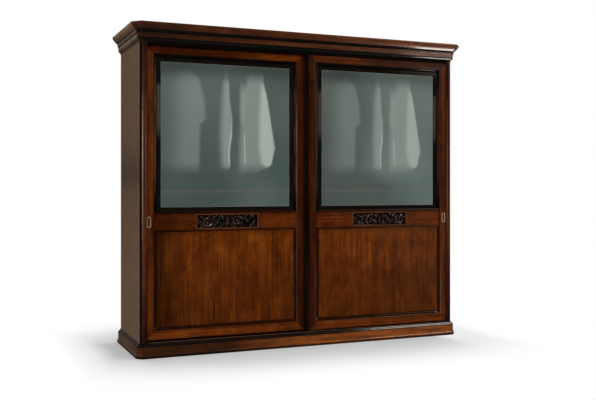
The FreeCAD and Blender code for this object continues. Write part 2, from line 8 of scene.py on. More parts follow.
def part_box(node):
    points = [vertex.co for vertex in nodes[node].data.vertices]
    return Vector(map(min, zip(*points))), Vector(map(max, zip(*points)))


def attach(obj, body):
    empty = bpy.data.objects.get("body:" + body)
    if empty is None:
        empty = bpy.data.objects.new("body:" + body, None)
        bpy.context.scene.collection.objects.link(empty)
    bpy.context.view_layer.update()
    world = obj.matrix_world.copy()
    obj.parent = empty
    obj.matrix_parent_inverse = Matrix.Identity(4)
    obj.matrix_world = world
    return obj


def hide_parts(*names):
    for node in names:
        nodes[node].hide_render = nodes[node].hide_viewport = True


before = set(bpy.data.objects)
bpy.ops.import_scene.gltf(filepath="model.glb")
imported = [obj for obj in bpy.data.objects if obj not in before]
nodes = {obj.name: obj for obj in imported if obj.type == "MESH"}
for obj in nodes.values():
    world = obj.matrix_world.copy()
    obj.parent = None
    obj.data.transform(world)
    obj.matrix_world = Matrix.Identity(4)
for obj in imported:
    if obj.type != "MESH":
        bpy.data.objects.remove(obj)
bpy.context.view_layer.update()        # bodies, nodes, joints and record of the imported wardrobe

bpy.ops.object.select_all(action="DESELECT")


# Small helpers

def tint(red, green, blue):  # a screen colour, 0 to 255, as the linear colour that a shader takes
    linear = []
    for part in (red, green, blue):
        part = part / 255
        linear.append(part / 12.92 if part <= 0.04045 else ((part + 0.055) / 1.055) ** 2.4)
    return (*linear, 1)


def grey(level):
    return (level, level, level, 1)


def dress(names, material):  # gives CAD nodes a finish
    for name in names:
        mesh = nodes[name].data
        mesh.materials.clear()
        mesh.materials.append(material)


def doorNodes(*names):  # the same node on both doors
    return [side + "_door_" + name for side in ("left", "right") for name in names]


# Node helpers for the materials

def newTree(name):
    material = bpy.data.materials.new(name)
    material.use_nodes = True
    return material, material.node_tree, material.node_tree.nodes["Principled BSDF"]


def put(tree, kind, **settings):
    node = tree.nodes.new(kind)
    for key, value in settings.items():
        setattr(node, key, value)
    return node


def plug(tree, source, target):  # a socket, number or colour into a socket
    if isinstance(source, bpy.types.NodeSocket):
        tree.links.new(source, target)
    else:
        target.default_value = source


def placeOf(tree):  # where on the object a point is, in metres
    return put(tree, "ShaderNodeTexCoord").outputs["Object"]


def axesOf(tree, vector):  # its X, Y and Z
    split = put(tree, "ShaderNodeSeparateXYZ")
    plug(tree, vector, split.inputs[0])
    return split.outputs


def mathNode(tree, operation, first, second=0.0, third=None):
    node = put(tree, "ShaderNodeMath", operation=operation)
    plug(tree, first, node.inputs[0])
    plug(tree, second, node.inputs[1])
    if third is not None:
        plug(tree, third, node.inputs[2])
    return node.outputs[0]


def product(tree, *values):
    result = values[0]
    for value in values[1:]:
        result = mathNode(tree, "MULTIPLY", result, value)
    return result


def spread(tree, value, low, high, newLow=0.0, newHigh=1.0, smooth=False):  # one range laid over another
    node = put(tree, "ShaderNodeMapRange", interpolation_type="SMOOTHSTEP" if smooth else "LINEAR")
    plug(tree, value, node.inputs["Value"])
    node.inputs["From Min"].default_value = low
    node.inputs["From Max"].default_value = high
    node.inputs["To Min"].default_value = newLow
    node.inputs["To Max"].default_value = newHigh
    return node.outputs["Result"]


def mixColor(tree, amount, first, second, blend="MIX"):
    node = put(tree, "ShaderNodeMix", data_type="RGBA", blend_type=blend)
    plug(tree, amount, node.inputs[0])
    plug(tree, first, node.inputs[6])
    plug(tree, second, node.inputs[7])
    return node.outputs[2]


def mixValue(tree, amount, first, second):
    node = put(tree, "ShaderNodeMix", data_type="FLOAT")
    plug(tree, amount, node.inputs[0])
    plug(tree, first, node.inputs[2])
    plug(tree, second, node.inputs[3])
    return node.outputs[0]


def noiseNode(tree, vector, scale=(1, 1, 1), detail=4.0, roughness=0.55, distortion=0.0):
    stretched = put(tree, "ShaderNodeVectorMath", operation="MULTIPLY")
    plug(tree, vector, stretched.inputs[0])
    stretched.inputs[1].default_value = scale
    noise = put(tree, "ShaderNodeTexNoise")
    plug(tree, stretched.outputs[0], noise.inputs["Vector"])
    noise.inputs["Scale"].default_value = 1.0
    noise.inputs["Detail"].default_value = detail
    noise.inputs["Roughness"].default_value = roughness
    noise.inputs["Distortion"].default_value = distortion
    return noise.outputs["Fac"]


def ramp(tree, value, stops):
    node = put(tree, "ShaderNodeValToRGB")
    plug(tree, value, node.inputs["Fac"])
    band = node.color_ramp
    while len(band.elements) < len(stops):
        band.elements.new(0.5)
    for element, (position, color) in zip(band.elements, stops):
        element.position = position
        element.color = color
    return node.outputs["Color"]


def addBump(tree, shader, height, strength, distance):
    bump = put(tree, "ShaderNodeBump")
    bump.inputs["Strength"].default_value = strength
    bump.inputs["Distance"].default_value = distance
    plug(tree, height, bump.inputs["Height"])
    tree.links.new(bump.outputs["Normal"], shader.inputs["Normal"])


def setGloss(shader, specular, coat, coatRoughness):
    shader.inputs["Specular IOR Level"].default_value = specular
    shader.inputs["Coat Weight"].default_value = coat
    shader.inputs["Coat Roughness"].default_value = coatRoughness


# Veneer: a stained and antiqued wood whose grain runs along one axis

veneer = {
    # scales across and along the grain, per metre
    "figure": (22.0, 1.6),       # broad bands
    "streak": (120.0, 2.4),      # fine lines
    "mottle": (12.0, 8.0),       # clouds of darker stain
    "fleck": (150.0, 75.0),      # short flecks and ripples across the grain
    "pore": (900.0, 26.0),       # open pores
    "weights": (0.2, 0.34, 0.3, 0.22),   # figure, streak, mottle and fleck
    "toneReach": 0.17,           # how far from the middle of these the end tones lie
    "poreFrom": (0.6, 0.72),
    "poreDark": 0.42,
    "leafJump": (3.0, 0.0, 5.0), # how far apart in the log two sheets may be cut
    "bump": 0.12,
    "bumpDepth": 0.0006,
    "roughness": (0.26, 0.38),
    "specular": 0.2,
    "coat": 0.08,
    "coatRoughness": 0.12,
    "paintedHighlight": tint(150, 118, 102),   # a painted highlight on an upright edge, where light catches it,
    "sheenWidth": (0.0065, 0.002),     # how far from it the highlight ends and is full,
    "sheenFoot": (1.0, 1.3, 0.4, 1.0), # and where up the door it weakens
    "sheenTop": (2.05, 1.8),
}


def alongGrain(grain, pair):  # scales across and along the grain as an XYZ scale
    across, along = pair
    return tuple(along if axis == grain else across for axis in "XYZ")


def veneerColor(tree, tones, grain, start, leafWidth=0.0, contrast=1.4):
    place = placeOf(tree)
    shift = put(tree, "ShaderNodeMapping")
    plug(tree, place, shift.inputs["Vector"])
    shift.inputs["Location"].default_value = start
    at = shift.outputs["Vector"]
    if leafWidth:  # sheets of veneer laid side by side, each with its own figure
        axes = axesOf(tree, at)
        leaf = mathNode(tree, "FLOOR", mathNode(tree, "DIVIDE", axes["X"], leafWidth))
        chance = put(tree, "ShaderNodeTexWhiteNoise", noise_dimensions="1D")
        plug(tree, leaf, chance.inputs["W"])
        jump = put(tree, "ShaderNodeVectorMath", operation="MULTIPLY_ADD")
        plug(tree, chance.outputs["Color"], jump.inputs[0])
        jump.inputs[1].default_value = veneer["leafJump"]
        plug(tree, at, jump.inputs[2])
        at = jump.outputs[0]
    figure = noiseNode(tree, at, alongGrain(grain, veneer["figure"]), 3.0, 0.5, 0.2)
    streak = noiseNode(tree, at, alongGrain(grain, veneer["streak"]), 4.0, 0.6, 0.1)
    mottle = noiseNode(tree, at, alongGrain(grain, veneer["mottle"]), 4.0, 0.62, 0.4)
    fleck = noiseNode(tree, at, alongGrain(grain, veneer["fleck"]), 3.0, 0.6, 0.3)
    pore = noiseNode(tree, at, alongGrain(grain, veneer["pore"]), 2.0, 0.5)
    body = 0.0
    for layer, weight in zip((figure, streak, mottle, fleck), veneer["weights"]):
        body = mathNode(tree, "MULTIPLY_ADD", layer, weight, body)
    middle = sum(veneer["weights"]) / 2
    half = veneer["toneReach"] / contrast
    tone = spread(tree, body, middle - half, middle + half)
    color = ramp(tree, tone, [(0.0, tones[0]), (0.5, tones[1]), (1.0, tones[2])])
    pores = spread(tree, pore, *veneer["poreFrom"])
    color = mixColor(tree, product(tree, pores, veneer["poreDark"]), color, tones[0])
    return color, streak, pores, place


def darkEnds(tree, color, place, axis, low, high, reach, amount, tone):  # darker at both ends: stain at the mitres and panel edges, painted shade at the ends of the corner posts
    axes = axesOf(tree, place)
    value = axes[axis]
    fromLow = mathNode(tree, "SUBTRACT", value, low)
    fromHigh = mathNode(tree, "SUBTRACT", high, value)
    nearest = mathNode(tree, "MINIMUM", fromLow, fromHigh)
    cloud = noiseNode(tree, place, (14, 14, 14), 3.0)
    nearest = mathNode(tree, "MULTIPLY_ADD", cloud, reach, nearest)
    share = spread(tree, nearest, reach * 0.45, reach * 1.6, amount, 0.0, True)
    return mixColor(tree, share, color, tone)


def shadeAcross(tree, color, place, axis, first, last, stops, tone):  # darker in bands across a member; on the side panels this is painted reflection and shade
    axes = axesOf(tree, place)
    cloud = noiseNode(tree, place, (22, 22, 22), 3.0)
    at = spread(tree, axes[axis], first, last)
    at = mathNode(tree, "MULTIPLY_ADD", mathNode(tree, "SUBTRACT", cloud, 0.5), 0.12, at)
    shade = ramp(tree, at, [(share, grey(dark)) for share, dark in stops])
    return mixColor(tree, shade, color, tone)


def paintSheenEdge(tree, color, place, edge, amount):  # painted highlight: an upright edge is made pale where light catches it
    axes = axesOf(tree, place)
    off = mathNode(tree, "ABSOLUTE", mathNode(tree, "SUBTRACT", axes["X"], edge))
    cloud = noiseNode(tree, place, (14, 14, 5), 3.0)
    share = product(tree, spread(tree, off, *veneer["sheenWidth"]), spread(tree, cloud, 0.35, 0.6, 0.5, 1.0),
                    spread(tree, axes["Z"], *veneer["sheenFoot"]),
                    spread(tree, axes["Z"], *veneer["sheenTop"]), amount)
    return mixColor(tree, share, color, veneer["paintedHighlight"])


def fadeAlongX(tree, color, place, first, last, fromMiddle=False):  # place along X and strength, twice
    axes = axesOf(tree, place)
    at = axes["X"]
    if fromMiddle:
        at = mathNode(tree, "ABSOLUTE", at)
    strength = spread(tree, at, first[0], last[0], first[1], last[1])
    return mixColor(tree, 1.0, color, strength, "MULTIPLY")


def finishVeneer(tree, shader, color, streak, pores, gloss=None):
    tree.links.new(color, shader.inputs["Base Color"])
    plug(tree, spread(tree, streak, 0.3, 0.7, *(gloss or veneer["roughness"])), shader.inputs["Roughness"])
    setGloss(shader, veneer["specular"], veneer["coat"], veneer["coatRoughness"])
    height = mathNode(tree, "SUBTRACT", product(tree, streak, 0.5), pores)
    addBump(tree, shader, height, veneer["bump"], veneer["bumpDepth"])


def veneerMaterial(name, tones, grain, start=(0, 0, 0), ends=None, across=None, fade=None, leafWidth=0.0,
                   gloss=None, contrast=1.4, paintedSheen=None):
    material, tree, shader = newTree(name)
    color, streak, pores, place = veneerColor(tree, tones, grain, start, leafWidth, contrast)
    if across:
        color = shadeAcross(tree, color, place, *across, tones[0])
    for end in ends or []:
        color = darkEnds(tree, color, place, *end)
    if fade:
        color = fadeAlongX(tree, color, place, *fade)
    # a painted highlight along an upright edge
    if paintedSheen:
        color = paintSheenEdge(tree, color, place, *paintedSheen)
    finishVeneer(tree, shader, color, streak, pores, gloss)
    return material


# Stains, from dark to light

stain = {
    "rail": (tint(34, 12, 3), tint(88, 37, 8), tint(122, 58, 13)),
    "lowRail": (tint(40, 15, 4), tint(102, 46, 12), tint(136, 70, 20)),
    "stile": (tint(34, 12, 3), tint(86, 36, 8), tint(116, 56, 13)),
    "innerStile": (tint(24, 8, 3), tint(57, 22, 6), tint(80, 34, 9)),
    "panel": (tint(50, 19, 4), tint(98, 45, 8), tint(136, 70, 17)),
    "cornice": (tint(34, 13, 4), tint(76, 35, 11), tint(104, 52, 18)),
    "plinth": (tint(40, 17, 4), tint(74, 36, 10), tint(100, 52, 16)),
    "side": (tint(58, 39, 25), tint(111, 86, 67), tint(132, 104, 82)),
    "post": (tint(30, 12, 8), tint(68, 33, 21), tint(94, 50, 32)),
    "plinthSide": (tint(54, 34, 18), tint(84, 56, 34), tint(104, 72, 46)),
    "pelmet": (tint(2, 1, 0), tint(5, 3, 1), tint(9, 5, 3)),
    "border": (tint(60, 28, 12), tint(88, 47, 22), tint(108, 64, 34)),
    "board": (tint(96, 60, 34), tint(140, 92, 56), tint(166, 116, 74)),
}


# Black lacquer with a faint brown bloom, for mouldings and strips

lacquer = {
    "dark": tint(4, 3, 2),
    "bloom": tint(13, 8, 6),
    "roughness": (0.1, 0.18),
    "specular": 0.55,
    "coat": 0.8,
    "coatRoughness": 0.06,
    "wave": (5, 5, 5),       # slow waves left by the brush, which bend the highlights
    "waveDepth": 0.002,
}


def lacquerColor(tree):
    place = placeOf(tree)
    cloud = noiseNode(tree, place, (9, 9, 9), 5.0, 0.65)
    grit = noiseNode(tree, place, (420, 420, 420), 2.0)
    share = spread(tree, cloud, 0.42, 0.75, 0.0, 0.8, True)
    color = mixColor(tree, share, lacquer["dark"], lacquer["bloom"])
    return color, cloud, grit


def lacquerMaterial(name, coat, specular, adjust=None):
    material, tree, shader = newTree(name)
    color, cloud, grit = lacquerColor(tree)
    if adjust:
        color = adjust(tree, color)
    tree.links.new(color, shader.inputs["Base Color"])
    plug(tree, spread(tree, cloud, 0.3, 0.7, *lacquer["roughness"]), shader.inputs["Roughness"])
    setGloss(shader, specular, coat, lacquer["coatRoughness"])
    addBump(tree, shader, grit, 0.05, 0.0003)
    return material


# Mouldings that carry both: bands of black over the height, and veneer between them

def bandedMaterial(name, tones, grain, start, bottom, height, bands, pale=None, fade=None):
    material, tree, shader = newTree(name)
    color, streak, pores, place = veneerColor(tree, tones, grain, start)
    black, cloud, grit = lacquerColor(tree)
    axes = axesOf(tree, place)
    level = spread(tree, axes["Z"], bottom, bottom + height)
    stops = []
    for position, shade in bands:
        if stops:  # a sharp edge between two bands
            stops.append((position - 0.004, stops[-1][1]))
        stops.append((position, grey(shade)))
    mask = ramp(tree, level, stops)
    if pale:  # painted light: the wood above this share of the height is paler
        share, lift = pale
        paler = mixColor(tree, 1.0, color, grey(lift), "MULTIPLY")
        color = mixColor(tree, mathNode(tree, "GREATER_THAN", level, share), color, paler)
    # painted light: darker to the left, lighter to the right
    if fade:
        color = fadeAlongX(tree, color, place, *fade)
    color = mixColor(tree, mask, color, black)
    tree.links.new(color, shader.inputs["Base Color"])
    wood = spread(tree, streak, 0.3, 0.7, *veneer["roughness"])
    shine = spread(tree, cloud, 0.3, 0.7, *lacquer["roughness"])
    plug(tree, mixValue(tree, mask, wood, shine), shader.inputs["Roughness"])
    setGloss(shader, lacquer["specular"], lacquer["coat"], lacquer["coatRoughness"])
    height = mathNode(tree, "SUBTRACT", product(tree, streak, 0.5), pores)
    wave = noiseNode(tree, place, lacquer["wave"], 3.0, 0.6)
    height = mathNode(tree, "MULTIPLY_ADD", wave, lacquer["waveDepth"] / veneer["bumpDepth"], height)
    addBump(tree, shader, height, veneer["bump"], veneer["bumpDepth"])
    return material


# Cornice and plinth. The bands are shares of the height and how black it is from there up, and a fade is
# a place along X and the strength there, twice, and paints light: darker to the left, lighter to the right

mouldings = {
    "cornice": {
        "front": ("cornice", [(0.0, 1), (0.215, 0), (0.46, 1), (0.65, 0)]),
        "side": ("side", [(0.0, 0.8), (0.06, 0.15), (0.166, 0.9), (0.19, 0), (0.38, 0.9), (0.475, 0.25),
                          (0.62, 1), (0.65, 0)]),
        # painted light: the downward-facing nose is made paler, as if lit
        "pale": (0.6, 1.5),
        "fade": ((-1.3, 0.34), (1.0, 1.5)),
    },
    "plinth": {
        "front": ("plinth", [(0.0, 0.8), (0.16, 0), (0.765, 1)]),
        "side": ("plinthSide", [(0.0, 0.8), (0.16, 0), (0.765, 1)]),
        "pale": None,
        "fade": ((-0.7, 0.6), (0.1, 3.4)),
    },
}
sidePanels = {
    "height": 2.4,
    "shares": [(0.0, 0.0), (0.38, 0.0), (0.46, 0.3), (0.52, 0.5), (0.56, 0.8), (0.59, 0.8), (0.64, 0.6),
               (0.7, 0.45), (1.0, 0.4)],     # painted reflection and shade: how much darker it is, from the floor up, lighter below where the floor is reflected
    "gloss": (0.2, 0.3),
    "contrast": 0.35,
}
blackLacquer = lacquerMaterial("blackLacquer", lacquer["coat"], lacquer["specular"])


def dressCarcass():
    for kind, look in mouldings.items():
        low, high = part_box(kind + "_front")
        for part, grain, start, face in (("front", "X", (0, 0, 0), "front"),
                                         ("corner_blocks", "X", (5, 2, 6), "front"),
                                         ("side_left", "Y", (3, 1, 2), "side"),
                                         ("side_right", "Y", (7, 4, 1), "side")):
            tones, bands = look[face]
            fade = look["fade"] if face == "front" else None
            dress([kind + "_" + part],
                  bandedMaterial(kind + part.title().replace("_", ""), stain[tones], grain, start,
                                 low.z, high.z - low.z, bands, look["pale"], fade))
    pelmet = veneerMaterial("pelmet", stain["pelmet"], "X", (2, 0, 4), gloss=(0.6, 0.75))
    setGloss(pelmet.node_tree.nodes["Principled BSDF"], 0.05, 0.0, veneer["coatRoughness"])
    dress(["top_pelmet"], pelmet)
    for side, start in (("left", (0, 0, 0)), ("right", (0, 4, 3))):
        # the side panels carry painted reflection and shade by height
        dress(["side_panel_" + side],
              veneerMaterial("sideVeneer" + side.title(), stain["side"], "Z", start,
                             across=("Z", 0.0, sidePanels["height"], sidePanels["shares"]),
                             gloss=sidePanels["gloss"], contrast=sidePanels["contrast"]))
        dress(["corner_post_" + side], postMaterial("post" + side.title(), side))
    boards = veneerMaterial("innerBoard", stain["board"], "Z", (1, 2, 0), gloss=(0.45, 0.6), contrast=0.7)
    dress(["center_divider", "back_panels", "plinth_back_rail", "plinth_bearers"], boards)
    flat = veneerMaterial("innerShelf", stain["board"], "X", (4, 2, 0), gloss=(0.45, 0.6), contrast=0.7)
    dress(["top_panel", "bottom_panel", "hat_shelf_left", "hat_shelf_right"], flat)


# The corner posts: a black cant, a light flat and a dark red ovolo beside the door, with painted highlights
# on the arris and beside the door, and painted shade at both ends

post = {
    "cant": tint(7, 5, 4),
    "cantStart": 1.3470,     # half widths at which the black of the cant starts,
    "arris": 1.3385,         # the edge beside it, with a painted highlight,
    "quirk": 1.324,          # the flat,
    "lip": (1.317, 0.0035),  # and the painted highlight line beside the door, with half its width
    "lipShare": 0.7,
    "ovolo": tint(60, 20, 12),
    "ovoloShare": 0.6,
    "wearAndSheen": tint(134, 104, 94),
    "highlightTop": (2.12, 1.65, 0.0, 1.0),       # heights between which the painted highlight weakens
    "highlightFoot": (0.75, 1.1, 0.1, 1.0),
    "darkReach": 0.6,        # how far the painted shade at the two ends reaches,
    "darkShare": 0.85,       # and how strong it is
    "gloss": (0.16, 0.24),
}


def postMaterial(name, side):
    material, tree, shader = newTree(name)
    color, streak, pores, place = veneerColor(tree, stain["post"], "Z", (2, 0, 1))
    axes = axesOf(tree, place)
    out = mathNode(tree, "ABSOLUTE", axes["X"])
    ovolo = mathNode(tree, "LESS_THAN", out, post["quirk"])
    color = mixColor(tree, product(tree, ovolo, post["ovoloShare"]), color, post["ovolo"])
    middle, half = post["lip"]
    fromLip = mathNode(tree, "ABSOLUTE", mathNode(tree, "SUBTRACT", out, middle))
    lip = product(tree, mathNode(tree, "LESS_THAN", fromLip, half), post["lipShare"])
    # painted highlight on the arris and on the lip beside the door
    wearAndSheen = mathNode(tree, "MAXIMUM", mathNode(tree, "GREATER_THAN", out, post["arris"]), lip)
    patchiness = spread(tree, noiseNode(tree, place, (3, 3, 1.4), 3.0), 0.35, 0.6, 0.35, 0.8)
    wearAndSheen = product(tree, wearAndSheen, spread(tree, axes["Z"], *post["highlightTop"]),
                   spread(tree, axes["Z"], *post["highlightFoot"], True), patchiness)
    color = mixColor(tree, wearAndSheen, color, post["wearAndSheen"])
    low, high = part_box("corner_post_" + side)
    # painted shade at the top and the foot of the post
    color = darkEnds(tree, color, place, "Z", low.z, high.z, post["darkReach"], post["darkShare"],
                     stain["post"][0])
    cant = mathNode(tree, "GREATER_THAN", out, post["cantStart"])
    color = mixColor(tree, cant, color, post["cant"])
    finishVeneer(tree, shader, color, streak, pores, post["gloss"])
    return material


# Doors: every frame member has its own figure, the stain gathers at the mitres, and each member is darker
# towards its edges

doorLook = {
    "mitreReach": 0.07,
    "mitreDark": 0.75,
    # how dark a member is across it, from the door's edge inwards or from the top down
    "railShares": [(0.0, 0.8), (0.07, 0.4), (0.14, 0.0), (0.8, 0.0), (1.0, 0.8)],
    "midShares": [(0.0, 1.0), (0.1, 1.0), (0.135, 0.2), (0.3, 0.0), (0.85, 0.0), (0.93, 0.5), (1.0, 1.0)],
    "stileShares": [(0.0, 0.9), (0.16, 0.6), (0.34, 0.0), (0.86, 0.0), (1.0, 0.8)],
    "panelShares": [(0.0, 0.0), (0.3, 0.05), (0.55, 0.35), (1.0, 0.35)],
    # a place along X and the strength there, twice
    "railFade": ((0.42, 1.0), (0.62, 0.44), True),      # the top rails, darker away from the middle,
    "midFade": ((-1.1, 0.5), (-0.8, 1.0)),              # the far left of the middle rail
    "panelFade": ((-1.22, 0.35), (-0.95, 1.0)),         # and of the panel
    "panelEnds": (0.06, 0.55),   # how far the dark edge of the panel reaches, and how dark it is
    "leafWidth": 0.43,           # sheets of veneer on the panels
    "stileSheen": {"left": 0.42, "right": 0.22},          # how strong the painted highlight on the inner stiles is beside the glass
}


# Coves: black with a painted highlight beside the glass, stained brown round the panel

cove = {
    "paintedHighlight": tint(120, 94, 82),
    "reach": 0.019,              # how far in from the outer edges the painted highlight reaches,
    "paintedSheen": (0.58, 0.13),         # and how strong it is on the left and on the right upright
    "sheenFoot": (0.05, 0.3),      # how far above the middle rail the painted highlight starts and is full,
    "sheenTop": (0.02, 0.25),      # and how far below the top it ends
    "brown": (tint(26, 10, 4), tint(46, 19, 8)),
    "brownBelow": 0.02,          # how far under the top of the middle rail the brown starts
    "coat": 0.2,
    "specular": 0.3,
}


def coveMaterial(side):
    low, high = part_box(side + "_door_cove_moulding")
    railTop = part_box(side + "_door_mid_rail")[1].z

    def sheenAndStain(tree, color):
        place = placeOf(tree)
        axes = axesOf(tree, place)
        patchiness = spread(tree, noiseNode(tree, place, (14, 14, 5), 3.0), 0.35, 0.6, 0.4, 1.0)
        upright = product(tree, spread(tree, axes["Z"], *[railTop + rise for rise in cove["sheenFoot"]]),
                          spread(tree, axes["Z"], *[high.z - drop for drop in cove["sheenTop"]]), patchiness)
        fromLow = mathNode(tree, "SUBTRACT", axes["X"], low.x)
        fromHigh = mathNode(tree, "SUBTRACT", high.x, axes["X"])
        # painted highlight on the uprights beside the glass
        for inward, share in zip((fromLow, fromHigh), cove["paintedSheen"]):
            near = spread(tree, inward, cove["reach"], cove["reach"] - 0.003, 0.0, share)
            color = mixColor(tree, product(tree, near, upright), color, cove["paintedHighlight"])
        brown = mixColor(tree, patchiness, *cove["brown"])
        below = mathNode(tree, "LESS_THAN", axes["Z"], railTop - cove["brownBelow"])
        return mixColor(tree, below, color, brown)

    return lacquerMaterial(side + "Cove", cove["coat"], cove["specular"], sheenAndStain)


def dressDoors():
    for side, seed in (("left", 1.0), ("right", 6.0)):
        low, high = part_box(side + "_door_top_rail")
        for part, shares, reach in (("top_rail", doorLook["railShares"], doorLook["mitreReach"]),
                                    ("mid_rail", doorLook["midShares"], doorLook["mitreReach"] * 0.3),
                                    ("bottom_rail", doorLook["railShares"], doorLook["mitreReach"])):
            seed += 1.3
            foot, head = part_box(side + "_door_" + part)
            edges = (foot.z, head.z) if part == "bottom_rail" else (head.z, foot.z)
            ends = [("X", low.x, high.x, reach, doorLook["mitreDark"], stain["rail"][0])]
            across = ("Z", *edges, shares)
            tones = stain["lowRail"] if part == "bottom_rail" else stain["rail"]
            fade = {"top_rail": doorLook["railFade"], "mid_rail": doorLook["midFade"]}.get(part)
            dress([side + "_door_" + part],
                  veneerMaterial(side + part, tones, "X", (seed, seed * 2, seed), ends, across, fade))
        for part, tones in (("outer_stile", stain["stile"]), ("inner_stile", stain["innerStile"])):
            seed += 1.7
            low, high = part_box(side + "_door_" + part)
            atLow = (side == "left") == (part == "outer_stile")
            edges = (low.x, high.x) if atLow else (high.x, low.x)
            ends = [("Z", low.z, high.z, doorLook["mitreReach"], doorLook["mitreDark"], tones[0])]
            across = ("X", *edges, doorLook["stileShares"])
            paintedSheen = (edges[1], doorLook["stileSheen"][side]) if part == "inner_stile" else None
            dress([side + "_door_" + part],
                  veneerMaterial(side + part, tones, "Z", (seed, 0, seed), ends, across, paintedSheen=paintedSheen))
        panelLow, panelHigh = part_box(side + "_door_lower_panel")
        ends = [("X", panelLow.x, panelHigh.x, *doorLook["panelEnds"], stain["panel"][0]),
                ("Z", panelLow.z, panelHigh.z, *doorLook["panelEnds"], stain["panel"][0])]
        across = ("Z", panelHigh.z, panelLow.z, doorLook["panelShares"])
        dress([side + "_door_lower_panel"],
              veneerMaterial(side + "panel", stain["panel"], "Z", (seed, 0, seed), ends, across,
                             doorLook["panelFade"], leafWidth=doorLook["leafWidth"]))
        dress([side + "_door_cove_moulding"], coveMaterial(side))
    dress(doorNodes("lap_strip"), blackLacquer)


# Satin glass with a clear border; its colour paints the light and shade of the inside behind it

glass = {
    "satin": tint(84, 94, 90),
    "deep": tint(67, 80, 76),
    "light": tint(171, 183, 175),
    # down and across are shares of the pane, and pairs say from where to where
    "topDown": (0.02, 0.12),     # painted shade: the satin is darker under the top rail
    "topShade": 0.58,
    "liftAcross": (0.15, 0.5),   # and painted lighter towards the right,
    "liftDown": (0.7, 0.86, 0.0, 0.36),      # which starts further right near the foot
    "foldSway": 0.02,
    "foldTop": (0.02, 0.14),     # where the folds fade in and out again
    "foldFoot": (0.67, 0.79),
    "rung": (0.89, 0.014, 0.3),  # a faint bar: how far down, half its width, its strength
    "rungTone": tint(122, 106, 96),
    "rim": (0.004, 0.3),         # lit edge of the satin: width and strength
    # painted shade: the clear band is dark, as the dark inside seen through it
    "clear": tint(20, 14, 9),
    "clearPale": tint(70, 62, 54),     # painted light where the clear band shows the room reflected in it and pale things behind it,
    "paleTop": (0.13, 0.18),           # from here
    "paleFoot": (0.55, 0.42),          # to here
    # where the noise starts, how pale the clear band is at the left and right, how light the right is
    "left": (3.1, (1.0, 0.1), 1.2),
    "right": (8.4, (1.0, 0.9), 1.9),
    "border": 0.0285,        # clear band beside the black cove
    "wider": 0.005,          # and how much wider it is at the sides
    "cove": 0.0330,          # pane hidden under the cove and in its groove, at the sides and top
    "coveBottom": 0.0140,    # pane hidden in the mid rail
    "satinRoughness": 0.42,
    "clearRoughness": 0.06,
}
# painted light: pale folds, as of lit garments behind the satin: how far down, left and right edge as shares
# of the pane, down the fold; the width of the two soft edges, and the brightness
folds = [
    ([(0.03, 0.10, 0.20), (0.10, 0.00, 0.285), (0.20, 0.00, 0.32), (0.38, 0.00, 0.338), (0.42, 0.00, 0.295),
      (0.74, 0.00, 0.285)], (0.12, 0.025), 0.08),
    ([(0.03, 0.20, 0.22), (0.10, 0.15, 0.285), (0.20, 0.13, 0.32), (0.38, 0.13, 0.338), (0.42, 0.13, 0.295),
      (0.74, 0.12, 0.285)], (0.09, 0.02), 0.2),
    ([(0.08, 0.495, 0.505), (0.13, 0.475, 0.517), (0.25, 0.465, 0.525), (0.38, 0.455, 0.54),
      (0.50, 0.455, 0.54), (0.60, 0.46, 0.525), (0.72, 0.46, 0.525), (0.75, 0.52, 0.50)],
     (0.035, 0.008), 0.49),
    ([(0.34, 0.54, 0.53), (0.50, 0.525, 0.542), (0.60, 0.511, 0.525), (0.71, 0.512, 0.524),
      (0.73, 0.53, 0.52)], (0.008, 0.004), 0.4),
    ([(0.08, 0.62, 0.61), (0.16, 0.60, 0.64), (0.38, 0.60, 0.63), (0.44, 0.62, 0.60)], (0.012, 0.02), 0.22),
    ([(0.42, 0.65, 0.63), (0.50, 0.633, 0.643), (0.69, 0.64, 0.65), (0.71, 0.66, 0.64)], (0.004, 0.004), 0.4),
    ([(0.10, 0.66, 0.78), (0.20, 0.62, 0.81), (0.40, 0.61, 0.84), (0.70, 0.60, 0.85), (0.73, 0.60, 0.80),
      (0.80, 0.59, 0.63)], (0.03, 0.02), 0.44),
    ([(0.10, 0.79, 0.79), (0.17, 0.78, 0.808), (0.25, 0.775, 0.825), (0.367, 0.77, 0.845),
      (0.585, 0.765, 0.882), (0.70, 0.79, 0.85), (0.725, 0.83, 0.82)], (0.04, 0.008), 0.9),
]


